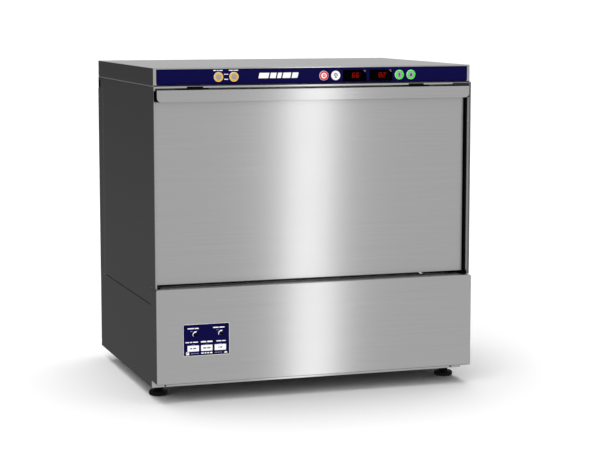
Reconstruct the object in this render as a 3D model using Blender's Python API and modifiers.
"""Underbench commercial dishwasher with a drop-down door.

Metres, +Z up. The origin is on the floor under the middle of the machine and the door faces -Y.
"""

import math

import bmesh
import bpy
from mathutils import Matrix, Vector

OBJECT_NAME = "commercial_dishwasher"

# Fits and sheet
GAP = 0.0003
SHEET = 0.0015

# Levels above the floor
CHASSIS_BOTTOM = 0.0238
CHASSIS_FLOOR = CHASSIS_BOTTOM + SHEET + GAP
FOOT_TOP = 0.0105
LIP_TOP = 0.0600
PANEL_BOTTOM = 0.0393
PANEL_TOP = 0.2338
SKIRT_TOP = 0.1965
SIDE_BOTTOM = 0.1982
DECK_BOTTOM = 0.2335
DECK_TOP = 0.2355
TANK_BOTTOM = 0.1100
FRAME_BOTTOM = 0.2365
SILL = 0.2620
LINTEL = 0.5980
DOOR_BOTTOM = 0.2400
DOOR_TOP = 0.6115
BAND_TOP = 0.6360
HEADER_BOTTOM = 0.6394
HEADER_TOP = 0.6434
BODY_TOP = 0.6434
HOOD_BOTTOM = 0.6438
HOOD_FACE_BOTTOM = 0.6457
HEIGHT = 0.6800
VENT_BOTTOM = 0.6196
VENT_TOP = 0.6367

# Planes from front to back
PANEL_FRONT = -0.2700
BAND_FRONT = -0.2645
BODY_FRONT = -0.2580
HOOD_FRONT = -0.2540
DOOR_FRONT = -0.2400
DOOR_BACK = -0.2147
CHASSIS_FRONT = -0.2200
PLATE_FRONT = CHASSIS_FRONT + SHEET + GAP
FRAME_FACE = -0.2070
CHAMBER_FRONT = -0.2052
REAR_WALL = 0.2250
VENT_FRONT = 0.2470
CHAMBER_BACK = 0.2595
SIDE_BACK = 0.2655
HOOD_BACK = 0.2700
REAR_SKIN = 0.2715

# Half widths
PANEL_HALF = 0.3450
BODY_HALF = 0.3440
HOOD_HALF = 0.3435
FRAME_HALF = 0.3422
POCKET_HALF = 0.3400
BAND_HALF = 0.3382
DOOR_HALF = 0.3375
FASCIA_HALF = 0.3367
OPENING_HALF = 0.2900
CHAMBER_HALF = 0.2915
TANK_HALF = 0.1800

# Joint axes
HINGE_Y = -0.2320
HINGE_Z = 0.2500
HINGE_PIN_RADIUS = 0.0030
SPRAY_Y = 0.0270
BUTTON_Z = 0.6610
BUTTON_RADIUS = 0.00975
BUTTON_X = {
    "button_wash_left": -0.2081,
    "button_wash_right": -0.1757,
    "button_power": 0.0167,
    "button_drain": 0.0424,
    "button_start": 0.1831,
    "button_rinse": 0.2089,
}
ADJUSTER_Z = 0.1385
DOSING_ROTOR_Z = 0.0980
DOSING_X = {"detergent": -0.2631, "rinse_aid": -0.2088}
FOOT_PLACES = {
    "foot_front_left": (-0.3200, -0.1800),
    "foot_front_right": (0.3200, -0.1800),
    "foot_rear_left": (-0.2900, 0.1950),
    "foot_rear_right": (0.2900, 0.1950),
}
CATCH_X = {"door_catch_left": -0.2510, "door_catch_right": 0.2272}
CATCH_TOP = 0.6418
STANDPIPE = (0.1300, 0.1400)
PUMP_X = 0.2620
PUMP_Z = 0.1050
RISER_Y = 0.2050

# Display windows
WINDOWS = ((0.0585, 0.1100), (0.1165, 0.1676))
WINDOW_Z = (0.6488, 0.6722)

STEEL = ("stainless_steel", (0.55, 0.55, 0.56), 0.32, 1.0)
LINER_STEEL = ("polished_steel", (0.66, 0.66, 0.67), 0.22, 1.0)
FASCIA_BLUE = ("fascia_blue", (0.012, 0.007, 0.050), 0.30, 0.0)
BLACK = ("black_plastic", (0.010, 0.010, 0.011), 0.45, 0.0)
RUBBER = ("black_rubber", (0.020, 0.020, 0.021), 0.80, 0.0)
DISPLAY = ("display_black", (0.006, 0.004, 0.005), 0.10, 0.0)
AMBER = ("button_amber", (0.85, 0.45, 0.02), 0.35, 0.0)
RED = ("button_red", (0.75, 0.03, 0.03), 0.35, 0.0)
WHITE = ("button_white", (0.85, 0.85, 0.88), 0.35, 0.0)
GREEN = ("button_green", (0.03, 0.65, 0.08), 0.35, 0.0)
BOARD = ("circuit_board", (0.01, 0.14, 0.05), 0.50, 0.0)
RACK_PLASTIC = ("rack_plastic", (0.05, 0.16, 0.42), 0.50, 0.0)
ARM_PLASTIC = ("arm_plastic", (0.32, 0.34, 0.36), 0.45, 0.0)
PUMP_METAL = ("pump_metal", (0.22, 0.23, 0.25), 0.50, 0.8)
HEATER = ("heater_tube", (0.30, 0.27, 0.24), 0.40, 1.0)
PUMP_WHITE = ("pump_plastic", (0.62, 0.62, 0.60), 0.50, 0.0)
BRASS = ("brass", (0.62, 0.45, 0.17), 0.35, 1.0)

BUTTON_FINISH = {
    "button_wash_left": AMBER,
    "button_wash_right": AMBER,
    "button_power": RED,
    "button_drain": WHITE,
    "button_start": GREEN,
    "button_rinse": GREEN,
}

ALONG = {
    "+Z": (0.0, 0.0, 0.0),
    "-Z": (math.pi, 0.0, 0.0),
    "+Y": (-math.pi / 2, 0.0, 0.0),
    "-Y": (math.pi / 2, 0.0, 0.0),
    "+X": (0.0, math.pi / 2, 0.0),
    "-X": (0.0, -math.pi / 2, 0.0),
}


def clear_scene():
    for obj in list(bpy.data.objects):
        bpy.data.objects.remove(obj, do_unlink=True)


def collection(name):
    made = bpy.data.collections.new(name)
    bpy.context.scene.collection.children.link(made)
    return made


def material(finish):
    name, colour, roughness, metallic = finish
    found = bpy.data.materials.get(name)
    if found:
        return found
    made = bpy.data.materials.new(name)
    made.use_nodes = True
    shader = made.node_tree.nodes["Principled BSDF"]
    shader.inputs["Base Color"].default_value = (*colour, 1.0)
    shader.inputs["Roughness"].default_value = roughness
    shader.inputs["Metallic"].default_value = metallic
    made.diffuse_color = (*colour, 1.0)
    return made


def part(name, mesh, finish):
    obj = bpy.data.objects.new(name, mesh)
    mesh.materials.append(material(finish))
    PARTS.objects.link(obj)
    return obj


def helper(name, mesh):
    """A cutter, or a shape that a Boolean joins to a part."""
    obj = bpy.data.objects.new(name, mesh)
    obj.hide_render = True
    obj.display_type = "WIRE"
    CUTTERS.objects.link(obj)
    return obj


def to_mesh(name, bm):
    mesh = bpy.data.meshes.new(name)
    bm.to_mesh(mesh)
    bm.free()
    return mesh


def add_box(bm, low, high):
    low, high = Vector(low), Vector(high)
    placed = Matrix.Translation((low + high) / 2) @ Matrix.Diagonal((*(high - low), 1.0))
    bmesh.ops.create_cube(bm, size=1.0, matrix=placed)


def boxes_mesh(name, boxes):
    """One mesh of separate boxes, each a (low corner, high corner) pair."""
    bm = bmesh.new()
    for low, high in boxes:
        add_box(bm, low, high)
    return to_mesh(name, bm)


def cylinder_mesh(name, radius, start, end, segments=24):
    """A closed cylinder between two points."""
    start, end = Vector(start), Vector(end)
    turn = (end - start).to_track_quat("Z", "Y").to_matrix().to_4x4()
    placed = Matrix.Translation((start + end) / 2) @ turn
    bm = bmesh.new()
    bmesh.ops.create_cone(
        bm,
        cap_ends=True,
        segments=segments,
        radius1=radius,
        radius2=radius,
        depth=(end - start).length,
        matrix=placed,
    )
    return to_mesh(name, bm)


def rounded_box_mesh(name, low, high, along, radius, segments=4, picked=None):
    """A box whose edges along the named axes are rounded, all of them or the picked ones."""
    bm = bmesh.new()
    add_box(bm, low, high)
    axes = ["XYZ".index(letter) for letter in along]
    edges = []
    for edge in bm.edges:
        run = edge.verts[1].co - edge.verts[0].co
        middle = (edge.verts[0].co + edge.verts[1].co) / 2
        lies_along = any(abs(run[axis]) > 0.9 * run.length for axis in axes)
        if lies_along and (picked is None or picked(middle)):
            edges.append(edge)
    bmesh.ops.bevel(
        bm, geom=edges, offset=radius, segments=segments, profile=0.5, affect="EDGES"
    )
    return to_mesh(name, bm)


def boolean(obj, other, operation):
    modifier = obj.modifiers.new(f"{operation.lower()}_{other.name}", "BOOLEAN")
    modifier.operation = operation
    modifier.solver = "EXACT"
    modifier.object = other
    return obj


def cut(obj, mesh):
    return boolean(obj, helper(f"{obj.name}_cut_{len(obj.modifiers)}", mesh), "DIFFERENCE")


def join(obj, mesh):
    return boolean(obj, helper(f"{obj.name}_join_{len(obj.modifiers)}", mesh), "UNION")


def cut_boxes(obj, *boxes):
    for box in boxes:
        cut(obj, boxes_mesh("cutter", [box]))
    return obj


def cut_round(obj, radius, start, end, segments=24):
    return cut(obj, cylinder_mesh("cutter", radius, start, end, segments))


def box_part(name, low, high, finish):
    return part(name, boxes_mesh(name, [(low, high)]), finish)


def centred(half, y0, z0, y1, z1):
    """The corners of a box that is centred across the machine."""
    return (-half, y0, z0), (half, y1, z1)


def mirrored(side, x0, y0, z0, x1, y1, z1):
    """The corners of a box given for the right side, put on side -1 or +1."""
    low, high = sorted((side * x0, side * x1))
    return (low, y0, z0), (high, y1, z1)


def turned(name, profile, finish, place, along="+Z", steps=24, loop=False):
    """A profile of (radius, height) points, listed down its outer side, turned about a line."""
    mesh = bpy.data.meshes.new(name)
    points = [(radius, 0.0, height) for radius, height in profile]
    edges = [(i, i + 1) for i in range(len(points) - 1)]
    if loop:
        edges.append((len(points) - 1, 0))
    mesh.from_pydata(points, edges, [])
    obj = part(name, mesh, finish)
    obj.location = place
    obj.rotation_euler = ALONG[along]
    screw = obj.modifiers.new("turn", "SCREW")
    screw.axis = "Z"
    screw.steps = steps
    screw.render_steps = steps
    screw.use_merge_vertices = True
    screw.merge_threshold = 0.0001
    return obj


def bent_route(corners, radius, steps=6):
    """Straight runs between the corners, with an arc of the radius at each inner corner."""
    corners = [Vector(corner) for corner in corners]
    route = [corners[0]]
    for before, corner, after in zip(corners, corners[1:], corners[2:]):
        to_before = (before - corner).normalized()
        to_after = (after - corner).normalized()
        half_angle = to_before.angle(to_after) / 2
        reach = radius / math.tan(half_angle)
        centre = corner + (to_before + to_after).normalized() * radius / math.sin(half_angle)
        first = corner + to_before * reach - centre
        last = corner + to_after * reach - centre
        sweep = first.angle(last)
        for i in range(steps + 1):
            share = i / steps
            blend = first * math.sin((1 - share) * sweep) + last * math.sin(share * sweep)
            route.append(centre + blend / math.sin(sweep))
    route.append(corners[-1])
    return route


def tube_curve(name, route, radius, resolution=3):
    curve = bpy.data.curves.new(name, "CURVE")
    curve.dimensions = "3D"
    curve.bevel_depth = radius
    curve.bevel_resolution = resolution
    curve.use_fill_caps = True
    spline = curve.splines.new("POLY")
    spline.points.add(len(route) - 1)
    for point, place in zip(spline.points, route):
        point.co = (*place, 1.0)
    return curve


def tube(name, route, radius, finish, resolution=3):
    curve = tube_curve(name, route, radius, resolution)
    curve.materials.append(material(finish))
    obj = bpy.data.objects.new(name, curve)
    PARTS.objects.link(obj)
    return obj


def tube_mesh(name, route, radius, resolution=3):
    """The same tube as a welded mesh, which a Boolean can use."""
    source = bpy.data.objects.new(name, tube_curve(name, route, radius, resolution))
    PARTS.objects.link(source)
    bpy.context.view_layer.update()
    graph = bpy.context.evaluated_depsgraph_get()
    mesh = bpy.data.meshes.new_from_object(source.evaluated_get(graph))
    bpy.data.objects.remove(source)
    bm = bmesh.new()
    bm.from_mesh(mesh)
    bmesh.ops.remove_doubles(bm, verts=bm.verts, dist=0.00001)
    bm.to_mesh(mesh)
    bm.free()
    return mesh


def joint(name, place, *objects):
    """An empty on a joint's axis, which carries the pieces that move about it."""
    empty = bpy.data.objects.new(name, None)
    empty.empty_display_size = 0.02
    empty.location = place
    PARTS.objects.link(empty)
    for obj in objects:
        obj.parent = empty
        obj.matrix_parent_inverse = Matrix.Translation(-Vector(place))
    return empty


# Body and panels


def base_chassis():
    inner = BODY_HALF - SHEET
    low, high = centred(BODY_HALF, CHASSIS_FRONT, CHASSIS_BOTTOM, REAR_SKIN, SKIRT_TOP)
    obj = box_part("base_chassis", low, high, STEEL)
    cut_boxes(
        obj,
        centred(inner, CHASSIS_FRONT + SHEET, CHASSIS_BOTTOM + SHEET, REAR_WALL, 0.3),
        centred(inner, REAR_WALL + SHEET, 0.0, 0.3, 0.3),
        centred(0.330, -0.25, LIP_TOP, -0.20, 0.3),
    )
    for x, y in FOOT_PLACES.values():
        cut_round(obj, 0.0056, (x, y, 0.0), (x, y, 0.05), 16)
    cut_round(obj, 0.0126, (STANDPIPE[0], 0.2, 0.05), (STANDPIPE[0], 0.25, 0.05))
    return obj


def service_plate():
    low, high = centred(0.3420, PLATE_FRONT, CHASSIS_FLOOR, PLATE_FRONT + SHEET, 0.2280)
    return box_part("service_plate", low, high, STEEL)


def lower_front_panel():
    """A shallow tray on its edge, with its two top corners rounded as seen from the front."""
    low, high = centred(PANEL_HALF, PANEL_FRONT, PANEL_BOTTOM, CHASSIS_FRONT - GAP, PANEL_TOP)
    mesh = rounded_box_mesh(
        "lower_front_panel", low, high, "Y", 0.0035, 3, lambda middle: middle.z > 0.2
    )
    obj = part("lower_front_panel", mesh, STEEL)
    cut_boxes(
        obj,
        centred(
            PANEL_HALF - SHEET,
            PANEL_FRONT + SHEET,
            PANEL_BOTTOM + SHEET,
            -0.20,
            PANEL_TOP - SHEET,
        ),
    )
    for x in DOSING_X.values():
        cut_round(obj, 0.0036, (x, -0.28, ADJUSTER_Z), (x, -0.26, ADJUSTER_Z), 16)
    return obj


def label_plate():
    mesh = rounded_box_mesh(
        "label_plate", (-0.289, -0.2708, 0.096), (-0.193, -0.2703, 0.160), "Y", 0.0015, 2
    )
    obj = part("label_plate", mesh, FASCIA_BLUE)
    for x in DOSING_X.values():
        cut_round(obj, 0.0036, (x, -0.28, ADJUSTER_Z), (x, -0.26, ADJUSTER_Z), 16)
    return obj


def side_panel(name, side):
    """A side sheet with a rolled fold at its front, and notches for the rear panel and a vent."""
    low, high = mirrored(side, 0.3400, BODY_FRONT, SIDE_BOTTOM, BODY_HALF, SIDE_BACK, BODY_TOP)

    def rolled(middle):
        at_top = middle.z > BODY_TOP - 0.0005 and abs(middle.x) > 0.3435
        at_fold = middle.y < BODY_FRONT + 0.0005 and abs(middle.x) < 0.3405
        return at_top or at_fold

    mesh = rounded_box_mesh(name, low, high, "YZ", 0.0013, 3, rolled)
    obj = part(name, mesh, STEEL)
    inner = BODY_HALF - SHEET
    return cut_boxes(
        obj,
        mirrored(side, 0.330, BODY_FRONT + SHEET, 0.0, inner, 0.3, 0.7),
        mirrored(side, 0.320, -0.3, 0.0, 0.360, CHASSIS_FRONT, PANEL_TOP + 0.0005),
        mirrored(side, 0.325, 0.2240, 0.1, 0.355, 0.3, VENT_BOTTOM + GAP),
        mirrored(side, 0.325, VENT_FRONT, 0.1, 0.355, 0.3, VENT_TOP),
    )


def rear_panel():
    bottom = SKIRT_TOP + GAP
    low, high = centred(BODY_HALF, 0.2243, bottom, REAR_SKIN, VENT_BOTTOM)
    obj = box_part("rear_panel", low, high, STEEL)
    return cut_boxes(
        obj, centred(BODY_HALF - SHEET, 0.2, bottom + SHEET, REAR_SKIN - SHEET, 0.7)
    )


def top_cover():
    """The hood: a shallow lid, open below, with two slots behind the fascia."""
    bm = bmesh.new()
    add_box(bm, *centred(HOOD_HALF, HOOD_FRONT, HOOD_BOTTOM, HOOD_BACK, HEIGHT))
    top_edges = [e for e in bm.edges if min(v.co.z for v in e.verts) > HEIGHT - 0.001]
    upright = [e for e in bm.edges if abs(e.verts[0].co.z - e.verts[1].co.z) > 0.01]
    bmesh.ops.bevel(
        bm,
        geom=top_edges + upright,
        offset=0.0014,
        segments=2,
        profile=0.5,
        affect="EDGES",
    )
    obj = part("top_cover", to_mesh("top_cover", bm), STEEL)
    inner = HOOD_HALF - SHEET
    return cut_boxes(
        obj,
        centred(inner, HOOD_FRONT + SHEET, 0.6, HOOD_BACK - SHEET, HEIGHT - SHEET),
        centred(HOOD_HALF + SHEET, -0.3, 0.6, HOOD_FRONT + SHEET, HOOD_FACE_BOTTOM),
        ((-0.2225, -0.26, 0.6490), (-0.1620, -0.25, 0.6725)),
        ((0.0030, -0.26, 0.6480), (0.2225, -0.25, 0.6730)),
    )


def front_frame():
    """The frame round the door: a pocket that the door closes into, and the chamber's mouth.

    Its header is recessed over each catch, and at its right end.
    """
    low, high = centred(FRAME_HALF, -0.2562, FRAME_BOTTOM, -0.2055, HEADER_TOP)
    obj = box_part("front_frame", low, high, STEEL)
    cut_boxes(
        obj,
        centred(POCKET_HALF, -0.3, 0.0, FRAME_FACE, HEADER_BOTTOM),
        centred(OPENING_HALF, -0.25, SILL, -0.20, LINTEL),
    )
    recess_top = CATCH_TOP + GAP
    for x in CATCH_X.values():
        cut_boxes(obj, ((x - 0.0230, -0.27, 0.63), (x + 0.0103, -0.2240, recess_top)))
    return cut_boxes(obj, ((0.3040, -0.27, 0.63), (POCKET_HALF, -0.2240, recess_top)))


def door_catch(name):
    """A black catch under the header, with a step in its top."""
    x = CATCH_X[name]
    low, high = (x - 0.0225, -0.2570, 0.6368), (x + 0.0225, -0.2250, HEADER_BOTTOM - GAP)
    obj = box_part(name, low, high, BLACK)
    step = ((x - 0.0223, -0.2568, 0.6380), (x + 0.0100, -0.2255, CATCH_TOP))
    return join(obj, boxes_mesh("step", [step]))


# Chamber and tank


def chamber_liner():
    low, high = centred(CHAMBER_HALF, CHAMBER_FRONT, 0.2358, CHAMBER_BACK, 0.6378)
    obj = box_part("chamber_liner", low, high, LINER_STEEL)
    return cut_boxes(
        obj,
        centred(CHAMBER_HALF - SHEET, -0.3, 0.0, CHAMBER_BACK - SHEET, 0.6378 - SHEET),
    )


def wash_tank():
    """A deck under the chamber with a deep bowl in its middle."""
    low, high = centred(CHAMBER_HALF, CHAMBER_FRONT, DECK_BOTTOM, CHAMBER_BACK, DECK_TOP)
    obj = box_part("wash_tank", low, high, LINER_STEEL)
    join(obj, boxes_mesh("bowl", [centred(TANK_HALF, -0.1280, TANK_BOTTOM, 0.1820, 0.2345)]))
    cut_boxes(obj, centred(TANK_HALF - SHEET, -0.1265, TANK_BOTTOM + SHEET, 0.1805, 0.3))
    cut_round(obj, 0.0105, (*STANDPIPE, 0.1), (*STANDPIPE, 0.12))
    cut_round(obj, 0.0105, (PUMP_X, RISER_Y, 0.22), (PUMP_X, RISER_Y, 0.25))
    return obj


def tank_filter():
    """A strainer sheet over the bowl, with slots, and holes for the spray post and standpipe."""
    low, high = (-0.190, -0.138, 0.2358), (0.190, 0.192, 0.2373)
    obj = box_part("tank_filter", low, high, LINER_STEEL)
    cut_round(obj, 0.0150, (0, SPRAY_Y, 0.2), (0, SPRAY_Y, 0.26))
    cut_round(obj, 0.0155, (*STANDPIPE, 0.2), (*STANDPIPE, 0.26))
    slots = []
    for column in range(7):
        for row in range(8):
            x = -0.150 + 0.050 * column
            y = -0.113 + 0.040 * row
            near_post = math.hypot(x, y - SPRAY_Y) < 0.038
            near_pipe = math.hypot(x - STANDPIPE[0], y - STANDPIPE[1]) < 0.038
            if not (near_post or near_pipe):
                slots.append(((x - 0.017, y - 0.006, 0.23), (x + 0.017, y + 0.006, 0.24)))
    return cut(obj, boxes_mesh("slots", slots))


def overflow_standpipe():
    profile = [
        (0.0165, 0.2420),
        (0.0165, 0.2380),
        (0.0140, 0.2376),
        (0.0140, 0.1118),
        (0.0110, 0.1118),
        (0.0110, 0.2420),
    ]
    return turned("overflow_standpipe", profile, ARM_PLASTIC, (*STANDPIPE, 0), loop=True)


def tank_element():
    z = 0.1300
    corners = [(-0.110, -0.1262, z), (-0.110, 0.120, z), (-0.040, 0.120, z)]
    corners.append((-0.040, -0.1262, z))
    route = bent_route(corners, 0.030)
    return tube("tank_element", route, 0.0042, HEATER, resolution=2)


def rack_rail(name, side):
    box = mirrored(side, 0.2120, -0.195, 0.2900, 0.2897, 0.185, 0.3300)
    obj = box_part(name, *box, LINER_STEEL)
    return cut_boxes(obj, mirrored(side, 0.20, -0.3, 0.2915, 0.2882, 0.3, 0.4))


def dish_rack():
    """An open square basket: a grid floor and four windowed walls."""
    half, wall, floor = 0.225, 0.004, 0.005
    low = (-half, SPRAY_Y - half, 0.2918)
    high = (half, SPRAY_Y + half, 0.3918)
    obj = box_part("dish_rack", low, high, RACK_PLASTIC)
    inner = half - wall
    cut_boxes(obj, ((-inner, SPRAY_Y - inner, low[2] + floor), (inner, SPRAY_Y + inner, 0.5)))
    across = [-0.1800 + 0.0720 * i for i in range(6)]
    holes = [
        ((x - 0.031, SPRAY_Y + y - 0.031, 0.28), (x + 0.031, SPRAY_Y + y + 0.031, 0.31))
        for x in across
        for y in across
    ]
    cut(obj, boxes_mesh("floor_grid", holes))
    sill, head = 0.3180, 0.3680
    side_windows = []
    end_windows = []
    for i in range(5):
        offset = -0.1680 + 0.0840 * i
        y = SPRAY_Y + offset
        side_windows.append(((-0.3, y - 0.034, sill), (0.3, y + 0.034, head)))
        end_windows.append(((offset - 0.034, -0.3, sill), (offset + 0.034, 0.35, head)))
    cut(obj, boxes_mesh("side_windows", side_windows))
    return cut(obj, boxes_mesh("end_windows", end_windows))


def spray_posts():
    """The fixed spindles that the arms turn on: one up from the tank, one down from the roof."""
    lower = [
        (0, 0.2860),
        (0.0110, 0.2860),
        (0.0110, 0.2785),
        (0.0080, 0.2785),
        (0.0080, 0.2440),
        (0.0125, 0.2440),
        (0.0125, 0.1280),
        (0.0240, 0.1240),
        (0.0240, 0.1118),
        (0, 0.1118),
    ]
    upper = [
        (0, 0.6360),
        (0.0300, 0.6360),
        (0.0300, 0.6340),
        (0.0125, 0.6330),
        (0.0125, 0.6080),
        (0.0080, 0.6080),
        (0.0080, 0.5740),
        (0.0110, 0.5740),
        (0.0110, 0.5660),
        (0, 0.5660),
    ]
    place = (0, SPRAY_Y, 0)
    turned("lower_spray_post", lower, ARM_PLASTIC, place)
    turned("upper_spray_post", upper, ARM_PLASTIC, place)


def spray_arm(name, hub_low, hub_high, half_length, angle, finish):
    """A flat two-ended arm on a round hub with a running bore, at a resting angle in degrees."""
    middle = (hub_low + hub_high) / 2
    low = (-half_length, -0.014, middle - 0.005)
    high = (half_length, 0.014, middle + 0.005)
    mesh = rounded_box_mesh(name, low, high, "X", 0.003, 2)
    mesh.transform(Matrix.Rotation(math.radians(angle), 4, "Z"))
    mesh.transform(Matrix.Translation((0, SPRAY_Y, 0)))
    obj = part(name, mesh, finish)
    join(obj, cylinder_mesh("hub", 0.0190, (0, SPRAY_Y, hub_low), (0, SPRAY_Y, hub_high)))
    cut_round(obj, 0.0084, (0, SPRAY_Y, hub_low - 0.01), (0, SPRAY_Y, hub_high + 0.01))
    return joint(f"{name}_axis", (0, SPRAY_Y, middle), obj)


# Water and drive


def wash_riser_pipe():
    """From the pump up through the deck, up a back corner, and across the roof to the post."""
    corner = Vector((PUMP_X, RISER_Y, 0.6200))
    post = Vector((0, SPRAY_Y, 0.6200))
    end = post + (corner - post).normalized() * 0.0130
    corners = [
        (PUMP_X, 0.125, PUMP_Z + 0.0556),
        (PUMP_X, 0.125, 0.190),
        (PUMP_X, RISER_Y, 0.205),
        corner,
        end,
    ]
    return tube("wash_riser_pipe", bent_route(corners, 0.020), 0.0100, LINER_STEEL)


def wash_pump():
    motor = [
        (0, 0.140),
        (0.0058, 0.140),
        (0.0058, 0.180),
        (0.0300, 0.180),
        (0.0440, 0.172),
        (0.0460, 0.160),
        (0.0460, 0.020),
        (0.0440, 0.008),
        (0.0300, 0.000),
        (0, 0.000),
    ]
    obj = turned("wash_pump_motor", motor, PUMP_METAL, (PUMP_X, -0.080, PUMP_Z), "+Y", 32)
    saddle = ((PUMP_X - 0.030, -0.050, CHASSIS_FLOOR), (PUMP_X + 0.030, 0.070, 0.075))
    join(obj, boxes_mesh("saddle", [saddle]))
    volute = [
        (0.0550, 0.0447),
        (0.0550, 0.0000),
        (0.0070, 0.0000),
        (0.0070, 0.0040),
        (0.0500, 0.0040),
        (0.0500, 0.0400),
        (0.0130, 0.0400),
        (0.0130, 0.0447),
    ]
    place = (PUMP_X, 0.1003, PUMP_Z)
    turned("wash_pump_volute", volute, PUMP_METAL, place, "+Y", 32, loop=True)
    rotor = [
        (0, 0.0360),
        (0.0110, 0.0360),
        (0.0450, 0.0270),
        (0.0450, 0.0090),
        (0.0050, 0.0090),
        (0.0050, -0.0350),
        (0, -0.0350),
    ]
    obj = turned("wash_pump_rotor", rotor, PUMP_METAL, place, "+Y", 24)
    joint("wash_pump_axis", place, obj)


def suction_hose():
    y = 0.1823
    corners = [(0.150, y, 0.128), (0.150, 0.205, 0.128), (0.2620, 0.205, 0.105)]
    corners.append((0.2620, 0.1453, 0.105))
    return tube("suction_hose", bent_route(corners, 0.018), 0.0110, RUBBER)


def rinse_boiler():
    x, z = -0.2620, 0.1300
    mesh = cylinder_mesh("rinse_boiler", 0.0550, (x, -0.0600, z), (x, 0.2000, z), 32)
    obj = part("rinse_boiler", mesh, LINER_STEEL)
    for y in (0.000, 0.130):
        saddle = ((x - 0.03, y, CHASSIS_FLOOR), (x + 0.03, y + 0.03, 0.100))
        join(obj, boxes_mesh("saddle", [saddle]))
    cut_round(obj, 0.0535, (x, -0.0700, z), (x, 0.1985, z), 32)
    return obj


def boiler_element():
    """The boiler's end plate with its looped heating tube."""
    x, z = -0.2620, 0.1300
    mesh = cylinder_mesh("boiler_element", 0.0545, (x, -0.0650, z), (x, -0.0603, z), 32)
    obj = part("boiler_element", mesh, HEATER)
    corners = [(x - 0.022, -0.0630, z), (x - 0.022, 0.165, z), (x + 0.022, 0.165, z)]
    corners.append((x + 0.022, -0.0630, z))
    join(obj, tube_mesh("loop", bent_route(corners, 0.0215), 0.0042, 2))
    return obj


def inlet_valve():
    x, z = -0.2700, 0.0625
    mesh = boxes_mesh("inlet_valve", [((x - 0.020, 0.2268, 0.040), (x + 0.020, 0.2480, 0.085))])
    obj = part("inlet_valve", mesh, BRASS)
    join(obj, cylinder_mesh("thread", 0.0125, (x, 0.2470, z), (x, 0.2690, z)))
    cut_round(obj, 0.0085, (x, 0.2520, z), (x, 0.2800, z))
    return obj


def drain_pipe():
    x, y = STANDPIPE
    corners = [(x, y, TANK_BOTTOM - GAP), (x, y, 0.050), (x, 0.2690, 0.050)]
    mesh = tube_mesh("drain_pipe", bent_route(corners, 0.030), 0.0120)
    obj = part("drain_pipe", mesh, ARM_PLASTIC)
    return cut_round(obj, 0.0100, (x, 0.2400, 0.050), (x, 0.2800, 0.050))


def cable_gland():
    profile = [
        (0, 0.0060),
        (0.0050, 0.0060),
        (0.0050, 0.0260),
        (0.0085, 0.0260),
        (0.0110, 0.0200),
        (0.0110, 0.0080),
        (0.0135, 0.0080),
        (0.0135, 0.0000),
        (0, 0.0000),
    ]
    return turned("cable_gland", profile, BLACK, (0.2700, REAR_WALL + 0.0018, 0.060), "+Y")


def dosing_pump(name, x):
    """A pump body on the service plate, its three-roller rotor, and the adjuster above it."""
    low, high = (x - 0.0225, -0.2560, 0.075), (x + 0.0225, PLATE_FRONT - GAP, 0.160)
    body = box_part(f"{name}_pump_body", low, high, PUMP_WHITE)
    z = DOSING_ROTOR_Z
    cut_round(body, 0.0185, (x, -0.2600, z), (x, -0.2420, z))
    hub = cylinder_mesh(f"{name}_pump_rotor", 0.0100, (x, -0.2550, z), (x, -0.2424, z), 16)
    rotor = part(f"{name}_pump_rotor", hub, BLACK)
    for i in range(3):
        turn = math.radians(90 + 120 * i)
        rx, rz = x + 0.0125 * math.cos(turn), z + 0.0125 * math.sin(turn)
        join(rotor, cylinder_mesh("roller", 0.0045, (rx, -0.2545, rz), (rx, -0.2430, rz), 12))
    joint(f"{name}_pump_axis", (x, -0.2490, z), rotor)
    z = ADJUSTER_Z
    stem = cylinder_mesh(f"{name}_adjuster", 0.00275, (x, -0.2715, z), (x, -0.2563, z), 16)
    knob = part(f"{name}_adjuster", stem, BLACK)
    slot = ((x - 0.0004, -0.28, z - 0.01), (x + 0.0004, -0.2709, z + 0.01))
    cut(knob, boxes_mesh("slot", [slot]))
    joint(f"{name}_adjuster_axis", (x, -0.2700, z), knob)


# Door


def door():
    pieces = [door_outer_skin(), door_inner_panel(), door_handle_band(), door_gasket()]
    joint("door_hinge_axis", (0, HINGE_Y, HINGE_Z), *pieces)


def door_outer_skin():
    low, high = centred(DOOR_HALF, DOOR_FRONT, DOOR_BOTTOM, -0.2165, DOOR_TOP)
    mesh = rounded_box_mesh(
        "door_outer_skin", low, high, "Z", 0.0030, 4, lambda middle: middle.y < -0.23
    )
    obj = part("door_outer_skin", mesh, STEEL)
    inner = DOOR_HALF - SHEET
    front, bottom, top = DOOR_FRONT + SHEET, DOOR_BOTTOM + SHEET, DOOR_TOP - SHEET
    cut_boxes(obj, centred(inner, front, bottom, -0.20, top))
    axis_ends = ((-0.345, HINGE_Y, HINGE_Z), (0.345, HINGE_Y, HINGE_Z))
    return cut_round(obj, 0.0034, *axis_ends, segments=16)


def door_inner_panel():
    """The door's inside sheet, pressed in towards the chamber over its middle."""
    low, high = centred(0.3370, -0.2162, 0.2403, DOOR_BACK, 0.6112)
    obj = box_part("door_inner_panel", low, high, LINER_STEEL)
    join(obj, boxes_mesh("press", [centred(0.280, -0.2155, 0.270, -0.2087, 0.590)]))
    return cut_boxes(obj, centred(0.2785, -0.22, 0.2715, -0.2102, 0.5885))


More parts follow.
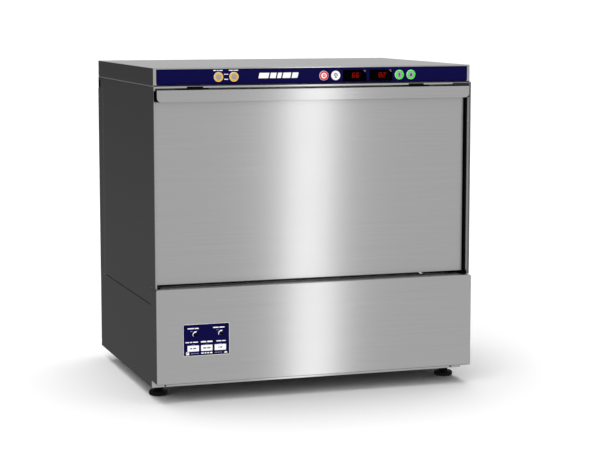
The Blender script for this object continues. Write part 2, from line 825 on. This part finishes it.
def door_handle_band():
    """The full-width pull: a channel, open below, whose front leg stands clear of the door."""
    low, high = centred(BAND_HALF, BAND_FRONT, 0.6118, DOOR_BACK, BAND_TOP)
    mesh = rounded_box_mesh(
        "door_handle_band", low, high, "Y", 0.0090, 6, lambda middle: middle.z < 0.62
    )
    bm = bmesh.new()
    bm.from_mesh(mesh)
    crown = []
    for edge in bm.edges:
        at_top = min(v.co.z for v in edge.verts) > 0.63
        at_front = max(v.co.y for v in edge.verts) < -0.26
        if at_top and at_front:
            crown.append(edge)
    bmesh.ops.bevel(bm, geom=crown, offset=0.0012, segments=2, profile=0.5, affect="EDGES")
    obj = part("door_handle_band", to_mesh("door_handle_band", bm), STEEL)
    return cut_boxes(
        obj,
        centred(0.4, BAND_FRONT + SHEET, 0.6, DOOR_FRONT, BAND_TOP - SHEET),
        centred(0.4, DOOR_FRONT + SHEET, 0.6, -0.21, BAND_TOP - SHEET),
    )


def door_gasket():
    low, high = centred(0.3100, -0.2144, 0.2505, -0.2073, 0.6080)
    obj = box_part("door_gasket", low, high, RUBBER)
    return cut_boxes(obj, centred(0.3000, -0.23, 0.2600, -0.20, 0.6000))


def hinge_pin(name, side):
    """A pin out of the frame's jamb into the door's side, with a collar between them."""
    profile = [
        (0, 0.0397),
        (0.0060, 0.0397),
        (0.0060, 0.0380),
        (HINGE_PIN_RADIUS, 0.0380),
        (HINGE_PIN_RADIUS, 0.0000),
        (0, 0.0000),
    ]
    along = "+X" if side > 0 else "-X"
    return turned(name, profile, LINER_STEEL, (side * 0.3000, HINGE_Y, HINGE_Z), along, 16)


# Controls


def control_fascia():
    low, high = centred(FASCIA_HALF, -0.2551, 0.6470, -0.2543, 0.6785)
    mesh = rounded_box_mesh("control_fascia", low, high, "Y", 0.0030, 4)
    obj = part("control_fascia", mesh, FASCIA_BLUE)
    for x in BUTTON_X.values():
        cut_round(obj, 0.0101, (x, -0.27, BUTTON_Z), (x, -0.24, BUTTON_Z))
    z0, z1 = WINDOW_Z[0] - GAP, WINDOW_Z[1] + GAP
    for x0, x1 in WINDOWS:
        cut_boxes(obj, ((x0 - GAP, -0.27, z0), (x1 + GAP, -0.24, z1)))
    return obj


def display_module():
    obj = box_part("display_module", (0.0560, -0.2500, 0.6500), (0.1700, -0.2455, 0.6710), DISPLAY)
    for x0, x1 in WINDOWS:
        window = ((x0, -0.2552, WINDOW_Z[0]), (x1, -0.2490, WINDOW_Z[1]))
        join(obj, boxes_mesh("window", [window]))
    return obj


def control_board():
    """An upright board behind the buttons and the display, standing on the frame's header."""
    low, high = centred(0.2250, -0.2452, HEADER_TOP + GAP, -0.2436, 0.6780)
    return box_part("control_board", low, high, BOARD)


def button(name, x):
    mesh = cylinder_mesh(name, BUTTON_RADIUS, (x, -0.2565, BUTTON_Z), (x, -0.2490, BUTTON_Z))
    obj = part(name, mesh, BUTTON_FINISH[name])
    joint(f"{name}_axis", (x, -0.2490, BUTTON_Z), obj)


# Feet


def foot(name, x, y):
    """A rounded disc with a neck, and a threaded stud through the chassis floor."""
    profile = [
        (0, 0.0460),
        (0.0050, 0.0460),
        (0.0050, CHASSIS_BOTTOM - GAP),
        (0.0095, CHASSIS_BOTTOM - GAP),
        (0.0095, FOOT_TOP + 0.0015),
        (0.0115, FOOT_TOP),
        (0.0175, FOOT_TOP),
        (0.0195, FOOT_TOP - 0.0012),
        (0.0205, FOOT_TOP - 0.0036),
        (0.0205, 0.0034),
        (0.0193, 0.0010),
        (0.0172, 0.0000),
        (0, 0.0000),
    ]
    obj = turned(name, profile, RUBBER, (x, y, 0))
    joint(f"{name}_axis", (x, y, 0), obj)


clear_scene()
PARTS = collection(OBJECT_NAME)
CUTTERS = collection("cutters")

base_chassis()
service_plate()
lower_front_panel()
label_plate()
side_panel("side_panel_left", -1)
side_panel("side_panel_right", 1)
rear_panel()
top_cover()
front_frame()
for catch_name in CATCH_X:
    door_catch(catch_name)

chamber_liner()
wash_tank()
tank_filter()
joint("standpipe_lift_axis", (*STANDPIPE, 0.1118), overflow_standpipe())
tank_element()
rack_rail("rack_rail_left", -1)
rack_rail("rack_rail_right", 1)
dish_rack()
spray_posts()
spray_arm("lower_wash_arm", 0.2445, 0.2590, 0.205, 20, ARM_PLASTIC)
spray_arm("lower_rinse_arm", 0.2620, 0.2760, 0.190, -25, LINER_STEEL)
spray_arm("upper_wash_arm", 0.5925, 0.6070, 0.205, 20, ARM_PLASTIC)
spray_arm("upper_rinse_arm", 0.5755, 0.5895, 0.190, -25, LINER_STEEL)

wash_riser_pipe()
wash_pump()
suction_hose()
rinse_boiler()
boiler_element()
inlet_valve()
drain_pipe()
cable_gland()
for dose_name, dose_x in DOSING_X.items():
    dosing_pump(dose_name, dose_x)

door()
hinge_pin("hinge_pin_left", -1)
hinge_pin("hinge_pin_right", 1)

control_fascia()
display_module()
control_board()
for button_name, button_x in BUTTON_X.items():
    button(button_name, button_x)
for foot_name, (foot_x, foot_y) in FOOT_PLACES.items():
    foot(foot_name, foot_x, foot_y)

for piece in PARTS.objects:
    if piece.type == "MESH":
        piece.data.shade_smooth()
        piece.data.set_sharp_from_angle(angle=math.radians(35))
